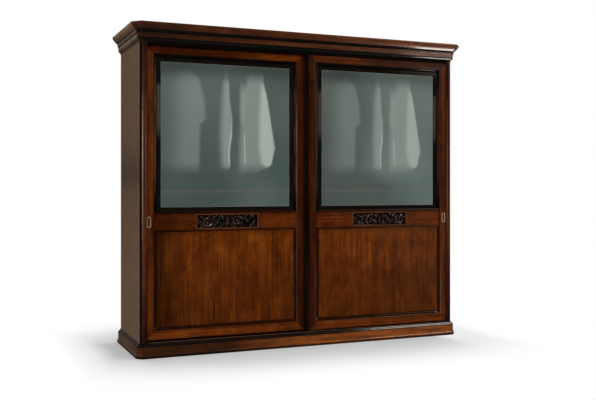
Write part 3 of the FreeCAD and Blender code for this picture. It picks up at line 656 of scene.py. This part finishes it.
def glassMaterial(side):
    low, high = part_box(side + "_door_glass_pane")
    seed, pale, lift = glass[side]
    material, tree, shader = newTree(side + "Glass")
    place = placeOf(tree)
    axes = axesOf(tree, place)
    edge = glass["cove"] + glass["border"] + glass["wider"]
    foot = glass["coveBottom"] + glass["border"]
    gaps = [mathNode(tree, "SUBTRACT", axes["X"], low.x + edge),
            mathNode(tree, "SUBTRACT", high.x - edge, axes["X"]),
            mathNode(tree, "SUBTRACT", axes["Z"], low.z + foot),
            mathNode(tree, "SUBTRACT", high.z - edge + glass["wider"], axes["Z"])]
    inside = gaps[0]
    for gap in gaps[1:]:
        inside = mathNode(tree, "MINIMUM", inside, gap)
    satin = spread(tree, inside, -0.0004, 0.0004, smooth=True)
    width, strength = glass["rim"]
    rim = spread(tree, mathNode(tree, "ABSOLUTE", inside), 0.0, width, strength, 0.0, True)
    shifted = put(tree, "ShaderNodeMapping")
    plug(tree, place, shifted.inputs["Vector"])
    shifted.inputs["Location"].default_value = (seed, 0, seed)
    sway = noiseNode(tree, shifted.outputs["Vector"], (2.2, 1, 2.6), 2.0, 0.5)
    haze = noiseNode(tree, shifted.outputs["Vector"], (1.6, 1, 1.4), 3.0, 0.5)
    across = spread(tree, axes["X"], low.x + edge, high.x - edge)
    across = mathNode(tree, "MULTIPLY_ADD", mathNode(tree, "SUBTRACT", sway, 0.5), glass["foldSway"], across)
    down = spread(tree, axes["Z"], high.z - edge, low.z + foot)
    shine = 0.0
    # painted light: pale folds of lit garments behind the satin
    for rows, soft, strength in folds:
        left = ramp(tree, down, [(row[0], grey(row[1])) for row in rows])
        right = ramp(tree, down, [(row[0], grey(row[2])) for row in rows])
        fromLeft = spread(tree, mathNode(tree, "SUBTRACT", across, left), -soft[0], soft[0], smooth=True)
        fromRight = spread(tree, mathNode(tree, "SUBTRACT", right, across), -soft[1], soft[1], smooth=True)
        shine = mathNode(tree, "MULTIPLY_ADD", product(tree, fromLeft, fromRight), strength, shine)
    shine = product(tree, shine, spread(tree, down, *glass["foldTop"], smooth=True),
                    spread(tree, down, *glass["foldFoot"], 1.0, 0.0, True))
    color = mixColor(tree, spread(tree, haze, 0.35, 0.65), glass["deep"], glass["satin"])
    # painted light, lighter to the right, and painted shade under the top rail
    liftFrom = mathNode(tree, "SUBTRACT", across, spread(tree, down, *glass["liftDown"]))
    brighter = product(tree, spread(tree, liftFrom, *glass["liftAcross"], 1.0, lift, True),
                       spread(tree, down, *glass["topDown"], glass["topShade"], 1.0, True))
    color = mixColor(tree, 1.0, color, brighter, "MULTIPLY")
    color = mixColor(tree, shine, color, glass["light"])
    color = mixColor(tree, rim, color, glass["light"])
    level, width, strength = glass["rung"]
    fromRung = mathNode(tree, "ABSOLUTE", mathNode(tree, "SUBTRACT", down, level))
    color = mixColor(tree, spread(tree, fromRung, 0.0, width, strength, 0.0, True), color, glass["rungTone"])
    seen = product(tree, spread(tree, down, *glass["paleTop"], smooth=True),
                   spread(tree, down, *glass["paleFoot"], smooth=True), spread(tree, across, 0.3, 0.7, *pale),
                   spread(tree, sway, 0.3, 0.6, 0.5, 1.0))
    # painted shade in the clear band, with painted reflections and pale things behind
    clear = mixColor(tree, seen, glass["clear"], glass["clearPale"])
    color = mixColor(tree, satin, clear, color)
    tree.links.new(color, shader.inputs["Base Color"])
    plug(tree, mixValue(tree, satin, glass["clearRoughness"], glass["satinRoughness"]),
         shader.inputs["Roughness"])
    addBump(tree, shader, noiseNode(tree, place, (900, 900, 900), 2.0), 0.04, 0.0002)
    return material


def dressGlass():
    for side in ("left", "right"):
        dress([side + "_door_glass_pane"], glassMaterial(side))


# Metal and plastic of the sliding gear and the rails

metals = {  # colour, how metallic, roughness, and scales of the brush marks
    # painted shade: the tracks are dark, for the shade in the gap under the doors
    "shadeDarkMetal": (tint(46, 38, 32), 1.0, (0.4, 0.55), (6, 400, 400)),
    "steel": (tint(190, 190, 186), 1.0, (0.22, 0.38), (500, 500, 20)),
    "brass": (tint(206, 178, 128), 0.5, (0.22, 0.36), (500, 500, 30)),
    "agedBrass": (tint(84, 70, 44), 0.5, (0.4, 0.55), (500, 500, 30)),
}


def metalMaterial(name):
    base, metallic, roughness, scale = metals[name]
    material, tree, shader = newTree(name)
    place = placeOf(tree)
    brushed = noiseNode(tree, place, scale, 4.0, 0.6)
    stains = noiseNode(tree, place, (35, 35, 35), 4.0, 0.65)
    dulled = tuple(part * 0.45 for part in base[:3]) + (1,)
    share = spread(tree, stains, 0.45, 0.75, 0.0, 0.7, True)
    tree.links.new(mixColor(tree, share, base, dulled), shader.inputs["Base Color"])
    shader.inputs["Metallic"].default_value = metallic
    plug(tree, spread(tree, brushed, 0.3, 0.7, *roughness), shader.inputs["Roughness"])
    addBump(tree, shader, brushed, 0.06, 0.0002)
    return material


def nylonMaterial():
    material, tree, shader = newTree("nylon")
    place = placeOf(tree)
    cloud = noiseNode(tree, place, (60, 60, 60), 3.0)
    color = mixColor(tree, spread(tree, cloud, 0.35, 0.7), tint(34, 32, 30), tint(22, 20, 19))
    tree.links.new(color, shader.inputs["Base Color"])
    plug(tree, spread(tree, cloud, 0.3, 0.7, 0.42, 0.55), shader.inputs["Roughness"])
    addBump(tree, shader, noiseNode(tree, place, (1200, 1200, 1200), 2.0), 0.05, 0.0002)
    return material


brass = metalMaterial("brass")
agedBrass = metalMaterial("agedBrass")


def dressGear():
    # the tracks are painted dark for the shade under the doors
    dress(["top_track", "bottom_track"], metalMaterial("shadeDarkMetal"))
    steel = metalMaterial("steel")
    dress(["hanging_rail_left", "hanging_rail_right", "rail_sockets", "shelf_pins"], steel)
    dress(doorNodes("hangers"), steel)
    nylon = nylonMaterial()
    dress(["levelling_feet", "track_end_stops"], nylon)
    dress(doorNodes("guide_shoes", "roller_inner", "roller_outer"), nylon)


# Helpers for modelling: pieces are shaped in edit mode, with their front towards -Y

def onlySelect(piece):
    bpy.ops.object.select_all(action="DESELECT")
    piece.select_set(True)
    bpy.context.view_layer.objects.active = piece


def startEdit(piece):
    onlySelect(piece)
    bpy.ops.object.transform_apply(location=True, rotation=True, scale=True)
    bpy.ops.object.mode_set(mode="EDIT")
    bpy.ops.mesh.select_mode(type="FACE")


def pickFaces(piece, test):
    bpy.ops.mesh.select_all(action="DESELECT")
    mesh = bmesh.from_edit_mesh(piece.data)
    for face in mesh.faces:
        if test(face.calc_center_median(), face.normal):
            face.select_set(True)
    bmesh.update_edit_mesh(piece.data)


def endEdit(piece, smoothAngle=40):
    bpy.ops.mesh.select_all(action="SELECT")
    bpy.ops.mesh.remove_doubles(threshold=0.00001)
    bpy.ops.mesh.normals_make_consistent(inside=False)
    bpy.ops.object.mode_set(mode="OBJECT")
    bpy.ops.object.shade_smooth_by_angle(angle=math.radians(smoothAngle))


def addModifier(piece, kind, **settings):
    modifier = piece.modifiers.new(kind.title(), kind)
    for key, value in settings.items():
        setattr(modifier, key, value)
    onlySelect(piece)
    bpy.ops.object.modifier_apply(modifier=modifier.name)


def copyTo(source, x, z, turn=0.0, size=1.0, flip=1.0):  # a copy with its own mesh, turned about Y
    onlySelect(source)
    bpy.ops.object.duplicate()
    piece = bpy.context.object
    piece.location = (x, 0, z)
    piece.rotation_euler = (0, -math.radians(turn), 0)
    piece.scale = (size * flip, size, size)
    bpy.ops.object.transform_apply(location=True, rotation=True, scale=True)
    return piece


def joinAll(parts, name):
    bpy.ops.object.select_all(action="DESELECT")
    for part in parts:
        part.select_set(True)
    bpy.context.view_layer.objects.active = parts[0]
    bpy.ops.object.join()
    piece = bpy.context.object
    piece.name = name
    piece.data.name = name
    return piece


def remove(*pieces):
    for piece in pieces:
        bpy.data.objects.remove(piece)


# Carved plaques: scrolls round rosettes, with leaves between them, on a sunk black field

carving = {
    "border": 0.0105,        # plain strip round the field
    "chamfer": 0.0022,
    "proud": 0.0020,         # how far the strip stands out from the door
    "field": 0.0042,         # how far the field lies behind the front of the door
    "stem": 0.0048,          # radius of a scroll's stem where it starts
    "stemSides": 8,
    "meet": 0.122,           # where the two scrolls of a half spring from each other
    "eyes": (0.0785, 0.1655),
    "turnStep": 20.0,        # degrees
    "steps": 27,
    "shrink": 0.957,
    "relief": 0.93,          # height against width, which keeps it behind the front of the strip
    "root": 0.0006,          # how deep the carving is rooted in the field
    "lobeWidth": 0.42,
    "lobeHeight": 0.34,
    "dish": 0.07,
    "petals": 8,
    "wearAndSheen": tint(66, 28, 18),
    "wornFrom": (0.49, 0.55),        # how sharp an edge is where the brown starts and is full,
    "paintedHighlight": tint(176, 160, 164),
    "glintFrom": (0.505, 0.54),     # and the same for the painted glints
    "roughness": (0.05, 0.12),
    "coat": 0.8,
    "coatRoughness": 0.05,
}
# leaves on the right half: place, direction in degrees and length
carvedLeaves = [
    (0.121, 0.008, 72, 0.037), (0.123, -0.008, -108, 0.037),
    (0.131, 0.030, 20, 0.026), (0.113, -0.030, -160, 0.026),
    (0.196, 0.026, 38, 0.036), (0.196, -0.026, -38, 0.036),
    (0.209, 0.006, 14, 0.034), (0.209, -0.006, -14, 0.034),
    (0.158, 0.040, 165, 0.022), (0.176, -0.040, -12, 0.022),
    (0.047, 0.024, 140, 0.032), (0.047, -0.024, -140, 0.032),
    (0.089, 0.041, 12, 0.022), (0.066, -0.041, -170, 0.022),
    (0.028, 0.010, 60, 0.026), (0.028, -0.010, -60, 0.026),
]


def carveLobe():  # a pointed, slightly dished lobe one unit long, from the origin along +X
    bpy.ops.mesh.primitive_uv_sphere_add(segments=12, ring_count=8, radius=0.5, location=(0.5, 0, 0),
                                         rotation=(0, math.radians(90), 0))
    lobe = bpy.context.object
    startEdit(lobe)
    bpy.ops.mesh.select_all(action="SELECT")
    bpy.ops.transform.resize(value=(1, carving["lobeHeight"], carving["lobeWidth"]),
                             center_override=(0.5, 0, 0))
    pickFaces(lobe, lambda centre, normal: centre.x > 0.7)
    bpy.ops.transform.resize(value=(1, 0.6, 0.5), center_override=(0.7, 0, 0))
    pickFaces(lobe, lambda centre, normal: centre.x < 0.25)
    bpy.ops.transform.resize(value=(1, 0.7, 0.5), center_override=(0.2, 0, 0))
    pickFaces(lobe, lambda centre, normal: normal.y < -0.75 and 0.15 < centre.x < 0.85)
    bpy.ops.mesh.inset(thickness=0.03)
    bpy.ops.transform.translate(value=(0, carving["dish"], 0))
    endEdit(lobe, 60)
    return lobe


def carveLeaf(lobe):  # five lobes fanned out
    fan = [(0, 0, 1.0), (0.06, 30, 0.78), (0.06, -30, 0.78), (0.0, 62, 0.55), (0.0, -62, 0.55)]
    return joinAll([copyTo(lobe, x, 0, turn, size) for x, turn, size in fan], "leaf")


def carveRosette(lobe):  # petals around a button, one unit across
    step = 360 / carving["petals"]
    petals = [copyTo(lobe, 0, 0, step * number, 0.5) for number in range(carving["petals"])]
    bpy.ops.mesh.primitive_uv_sphere_add(segments=12, ring_count=8, radius=0.12, location=(0, -0.02, 0),
                                         rotation=(math.radians(90), 0, 0))
    button = bpy.context.object
    startEdit(button)
    endEdit(button, 60)
    return joinAll(petals + [button], "rosette")


def carveScroll(eye, turnWay):  # a stem that winds inwards and thins, step by step
    bpy.ops.mesh.primitive_circle_add(vertices=carving["stemSides"], radius=carving["stem"], fill_type="NGON",
                                      location=(carving["meet"], 0, 0))
    scroll = bpy.context.object
    startEdit(scroll)
    bpy.ops.mesh.select_all(action="SELECT")
    for number in range(carving["steps"]):
        bpy.ops.mesh.extrude_region_move()
        bpy.ops.transform.rotate(value=math.radians(turnWay * carving["turnStep"]), orient_axis="Y",
                                 center_override=(eye, 0, 0))
        bpy.ops.transform.resize(value=(carving["shrink"],) * 3, center_override=(eye, 0, 0))
    endEdit(scroll, 60)
    return scroll


def carveFoliage():  # all that stands on the field, with its middle at the origin
    lobe = carveLobe()
    leaf = carveLeaf(lobe)
    rosette = carveRosette(lobe)
    first, second = carving["eyes"]
    half = [carveScroll(first, 1), carveScroll(second, 1)]
    half += [copyTo(rosette, first, 0, 10, 0.040), copyTo(rosette, second, 0, 30, 0.034)]
    half += [copyTo(leaf, x, z, turn, size) for x, z, turn, size in carvedLeaves]
    half = joinAll(half, "half")
    other = copyTo(half, 0, 0, flip=-1.0)
    middle = [copyTo(rosette, 0, 0, 0, 0.046)]
    middle += [copyTo(leaf, 0, side * 0.016, side * 90, 0.030) for side in (1, -1)]
    foliage = joinAll([half, other] + middle, "foliage")
    startEdit(foliage)
    bpy.ops.mesh.select_all(action="SELECT")
    bpy.ops.transform.resize(value=(1, carving["relief"], 1), center_override=(0, 0, 0))
    bpy.ops.mesh.select_all(action="SELECT")
    bpy.ops.mesh.bisect(plane_co=(0, carving["root"], 0), plane_no=(0, 1, 0), use_fill=True, clear_outer=True)
    endEdit(foliage, 60)
    remove(lobe, leaf, rosette)
    return foliage


def makePlaque(side, foliage):
    low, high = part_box(side + "_door_carved_plaque")
    front = low.y + carving["proud"]
    middle = (low + high) / 2
    bpy.ops.mesh.primitive_cube_add(size=1, location=middle, scale=high - low)
    plate = bpy.context.object
    startEdit(plate)
    pickFaces(plate, lambda centre, normal: normal.y < -0.9)
    bpy.ops.mesh.inset(thickness=carving["border"] - carving["chamfer"])
    bpy.ops.mesh.extrude_region_move()
    bpy.ops.transform.translate(value=(0, front + carving["field"] - low.y, 0))
    narrow = high - low - Vector((2, 0, 2)) * carving["border"]
    wide = narrow + Vector((2, 0, 2)) * carving["chamfer"]
    bpy.ops.transform.resize(value=(narrow.x / wide.x, 1, narrow.z / wide.z), center_override=middle)
    endEdit(plate)
    addModifier(plate, "BEVEL", width=0.0008, segments=2, limit_method="ANGLE", angle_limit=math.radians(40))
    plate.data.materials.append(carvedLacquer)
    plate.data.materials.append(plaqueBorder)
    for face in plate.data.polygons:
        if face.center.y < front + 0.0002:
            face.material_index = 1
    bpy.ops.object.shade_smooth_by_angle(angle=math.radians(30))
    relief = copyTo(foliage, middle.x, middle.z)
    startEdit(relief)
    bpy.ops.mesh.select_all(action="SELECT")
    bpy.ops.transform.translate(value=(0, front + carving["field"], 0))
    endEdit(relief, 60)
    relief.data.materials.append(carvedLacquer)
    plaque = joinAll([plate, relief], side + "_plaque_carving")
    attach(plaque, side + "_door")
    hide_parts(side + "_door_carved_plaque")


def carvedMaterial():  # black in the hollows, worn to a red brown, with painted glints on the high places
    material, tree, shader = newTree("carvedLacquer")
    color, cloud, grit = lacquerColor(tree)
    place = placeOf(tree)
    spots = noiseNode(tree, place, (45, 45, 45), 4.0, 0.6)
    edges = put(tree, "ShaderNodeNewGeometry").outputs["Pointiness"]
    share = product(tree, spread(tree, edges, *carving["wornFrom"]), spread(tree, spots, 0.34, 0.56))
    color = mixColor(tree, share, color, carving["wearAndSheen"])
    # painted glints on the sharp high places
    glints = noiseNode(tree, place, (130, 130, 130), 2.0, 0.5)
    share = product(tree, spread(tree, edges, *carving["glintFrom"]), spread(tree, glints, 0.605, 0.66))
    tree.links.new(mixColor(tree, share, color, carving["paintedHighlight"]), shader.inputs["Base Color"])
    plug(tree, spread(tree, spots, 0.3, 0.7, *carving["roughness"]), shader.inputs["Roughness"])
    setGloss(shader, 0.5, carving["coat"], carving["coatRoughness"])
    addBump(tree, shader, grit, 0.08, 0.0003)
    return material


# Flush pulls: an oblong flange with a deep cup behind it

pull = {
    "proud": 0.0018,         # thickness of the flange on the stile
    "flange": 0.0072,        # width of the flange round the cup
    "draft": 0.94,           # the cup narrows towards its floor
    "floor": 0.0015,
    "rimRound": 0.0008,
    "sides": 40,
}


def makePull(side):
    low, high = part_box(side + "_door_flush_pull")
    front = low.y + pull["proud"]
    middle = (low + high) / 2
    width = high.x - low.x
    reach = (high.z - low.z - width) / 2
    bpy.ops.mesh.primitive_cylinder_add(vertices=pull["sides"], radius=width / 2, depth=front - low.y,
                                        location=(middle.x, (front + low.y) / 2, middle.z),
                                        rotation=(math.radians(90), math.radians(180 / pull["sides"]), 0))
    piece = bpy.context.object
    startEdit(piece)
    bpy.ops.mesh.select_mode(type="VERT")
    for way in (1, -1):
        bpy.ops.mesh.select_all(action="DESELECT")
        mesh = bmesh.from_edit_mesh(piece.data)
        for corner in mesh.verts:
            corner.select_set((corner.co.z - middle.z) * way > 0)
        bmesh.update_edit_mesh(piece.data)
        bpy.ops.transform.translate(value=(0, 0, reach * way))
    bpy.ops.mesh.select_mode(type="FACE")
    # the cup's outside, behind the flange
    pickFaces(piece, lambda centre, normal: normal.y > 0.9)
    bpy.ops.mesh.inset(thickness=pull["flange"])
    bpy.ops.mesh.extrude_region_move()
    bpy.ops.transform.translate(value=(0, high.y - front, 0))
    # the cup itself, from the front
    pickFaces(piece, lambda centre, normal: normal.y < -0.9)
    bpy.ops.mesh.inset(thickness=pull["flange"] + pull["floor"] / 2)
    bpy.ops.mesh.extrude_region_move()
    bpy.ops.transform.translate(value=(0, high.y - low.y - pull["floor"], 0))
    bpy.ops.transform.resize(value=(pull["draft"], 1, pull["draft"]), center_override=middle)
    endEdit(piece)
    addModifier(piece, "BEVEL", width=pull["rimRound"], segments=3, limit_method="ANGLE",
                angle_limit=math.radians(40))
    bpy.ops.object.shade_smooth_by_angle(angle=math.radians(40))
    piece.name = side + "_pull_cup"
    piece.data.materials.append(brass)
    piece.data.materials.append(agedBrass)
    for face in piece.data.polygons:
        if face.center.y > front + pull["rimRound"]:
            face.material_index = 1
    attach(piece, side + "_door")
    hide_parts(side + "_door_flush_pull")


# The studio: pale floor, soft light, a camera where the photograph's stood

studio = {
    "floorSize": 60.0,
    "floor": tint(70, 68, 66),     # what the floor throws back at the wardrobe
    "shadowReach": 1.1,            # metres over which the shadow around the plinth fades
    # how much sky the floor sees, and how bright it is there
    "shadow": [(0.45, 0.45), (0.58, 0.53), (0.69, 0.59), (0.76, 0.66), (0.82, 0.755), (0.92, 0.905),
               (0.985, 1.0)],
    # beyond the two ends the shadow is shorter: place along X and least brightness
    "beyondEnds": [(-1.88, 1.0), (-1.65, 0.82), (-1.53, 0.56), (-1.43, 0.3), (-1.42, 0.0), (1.0, 0.0),
                   (1.16, 0.6), (1.27, 0.82), (1.54, 0.86), (1.64, 0.94), (1.76, 1.0)],
    "leftDark": (-1.35, -1.12, 0.14),      # before the left end it is darker: from, to, by how much
    "warm": (1.0, 0.89, 0.79),     # colour of the room and of the glossy lights
    "front": 0.02,                 # how bright the room is in front of the wardrobe,
    "behind": 0.08,                # behind it
    "above": 0.12,                 # and above it
}
lights = {  # place, target, size, power, and what they reach
    "keyLight": ((-3.2, -7.5, 3.2), (0, -0.3, 1.2), (3.4, 2.4), 500.0, "diffuse"),
    "sideLight": ((-7.0, -1.5, 4.0), (-1.4, 0, 1.2), (3.0, 3.0), 330.0, "diffuse"),
    "backFill": ((1.5, 8.0, 3.5), (0, 0.4, 1.2), (4.0, 3.0), 420.0, "diffuse"),
    "rightFill": ((7.5, 2.5, 3.5), (1.4, 0.2, 1.2), (3.0, 3.0), 300.0, "diffuse"),
    "footFill": ((2.4, -2.6, 0.8), (1.2, -0.35, 0.15), (0.8, 0.8), 9.0, "diffuse"),
    "highSheen": ((4.0, -2.5, 4.7), (1.0, -0.36, 0.1), (1.5, 1.8), 80.0, "glossy"),
    "window": ((5.6, -6.8, 4.45), (1.2, -0.38, 2.45), (1.5, 2.4), 17.0, "glossy"),
    "lowSheen": ((2.55, -0.6, 0.05), (1.2, -0.38, 2.45), (1.2, 0.6), 24.0, "glossy"),
    "backSheen": ((5.5, 2.4, 1.8), (1.35, -0.33, 1.4), (2.0, 3.0), 3.0, "glossy"),
    "sparkle": ((-3.5, -4.5, 5.5), (-0.3, -0.3, 1.0), (2.0, 1.6), 190.0, "glossy"),
}
view = {
    "place": (-2.7116, -6.5737, 1.2941),
    "turn": -22.82,
    "lens": 50.91,
    "shiftY": -0.02505,
}


def buildFloor():
    bpy.ops.mesh.primitive_plane_add(size=studio["floorSize"], location=(0, 0, 0))
    floor = bpy.context.object
    floor.name = "floor"
    material, tree, shader = newTree("floorPaint")
    eye = put(tree, "ShaderNodeLightPath").outputs["Is Camera Ray"]
    plug(tree, mixColor(tree, eye, studio["floor"], (0, 0, 0, 1)), shader.inputs["Base Color"])
    shader.inputs["Roughness"].default_value = 0.7
    shader.inputs["Specular IOR Level"].default_value = 0.0
    shader.inputs["Emission Color"].default_value = (1, 1, 1, 1)
    sky = put(tree, "ShaderNodeAmbientOcclusion", samples=24)
    sky.inputs["Distance"].default_value = studio["shadowReach"]
    glow = ramp(tree, sky.outputs["AO"], [(share, grey(tone)) for share, tone in studio["shadow"]])
    axes = axesOf(tree, placeOf(tree))
    reach = studio["beyondEnds"][-1][0] + 0.1
    least = ramp(tree, spread(tree, axes["X"], -reach, reach),
                 [((place + reach) / (2 * reach), grey(tone)) for place, tone in studio["beyondEnds"]])
    first, last, depth = studio["leftDark"]
    dim = product(tree, spread(tree, axes["X"], first, last, depth, 0.0), spread(tree, glow, 0.95, 0.7))
    glow = product(tree, glow, mathNode(tree, "SUBTRACT", 1.0, dim))
    glow = mathNode(tree, "MAXIMUM", glow, least)
    plug(tree, product(tree, glow, eye), shader.inputs["Emission Strength"])
    floor.data.materials.append(material)


def addLight(name, place, target, size, power, reach):
    bpy.ops.object.light_add(type="AREA", location=place)
    light = bpy.context.object
    light.name = name
    light.data.shape = "RECTANGLE"
    light.data.size = size[0]
    light.data.size_y = size[1]
    light.data.energy = power
    if reach == "glossy":
        light.data.color = studio["warm"]
    light.visible_camera = False
    light.visible_diffuse = reach == "diffuse"
    light.visible_glossy = reach == "glossy"
    back = (Vector(place) - Vector(target)).normalized()
    along = (Vector((1, 0, 0)) - back * back.x).normalized()    # the light's width lies along X
    light.rotation_euler = Matrix((along, back.cross(along), back)).transposed().to_euler()


def buildWorld():
    world = bpy.data.worlds.new("studioRoom")
    bpy.context.scene.world = world
    world.use_nodes = True
    tree = world.node_tree
    lamp = tree.nodes["Background"]
    output = tree.nodes["World Output"]
    axes = axesOf(tree, put(tree, "ShaderNodeTexCoord").outputs["Generated"])
    depth = spread(tree, axes["Y"], -0.25, 0.75, studio["front"], studio["behind"], True)
    height = spread(tree, axes["Z"], 0.35, 1.0, 0.0, studio["above"], True)
    plug(tree, mathNode(tree, "MAXIMUM", depth, height), lamp.inputs["Strength"])
    lamp.inputs["Color"].default_value = (*studio["warm"], 1)
    backdrop = put(tree, "ShaderNodeBackground")
    backdrop.inputs["Color"].default_value = (1, 1, 1, 1)
    backdrop.inputs["Strength"].default_value = 1.0
    eye = put(tree, "ShaderNodeLightPath").outputs["Is Camera Ray"]
    either = put(tree, "ShaderNodeMixShader")
    plug(tree, eye, either.inputs[0])
    tree.links.new(lamp.outputs[0], either.inputs[1])
    tree.links.new(backdrop.outputs[0], either.inputs[2])
    tree.links.new(either.outputs[0], output.inputs["Surface"])


def buildStudio():
    buildFloor()
    buildWorld()
    for name, values in lights.items():
        addLight(name, *values)


def placeCamera():
    bpy.ops.object.camera_add(location=view["place"],
                              rotation=(math.radians(90), 0, math.radians(view["turn"])))
    camera = bpy.context.object
    camera.name = "camera"
    camera.data.lens = view["lens"]
    camera.data.sensor_width = 36
    camera.data.shift_y = view["shiftY"]
    bpy.context.scene.camera = camera
    bpy.context.scene.view_settings.view_transform = "Standard"


placeCamera()
buildStudio()
print("studio and camera are set")
dressCarcass()
print("carcass dressed")
dressDoors()
dressGlass()
dressGear()
print("doors and gear dressed")
carvedLacquer = carvedMaterial()
plaqueBorder = veneerMaterial("plaqueBorder", stain["border"], "X", (5, 0, 2))
foliage = carveFoliage()
for side in ("left", "right"):
    makePlaque(side, foliage)
    makePull(side)
remove(foliage)
print("plaques carved and pulls made")
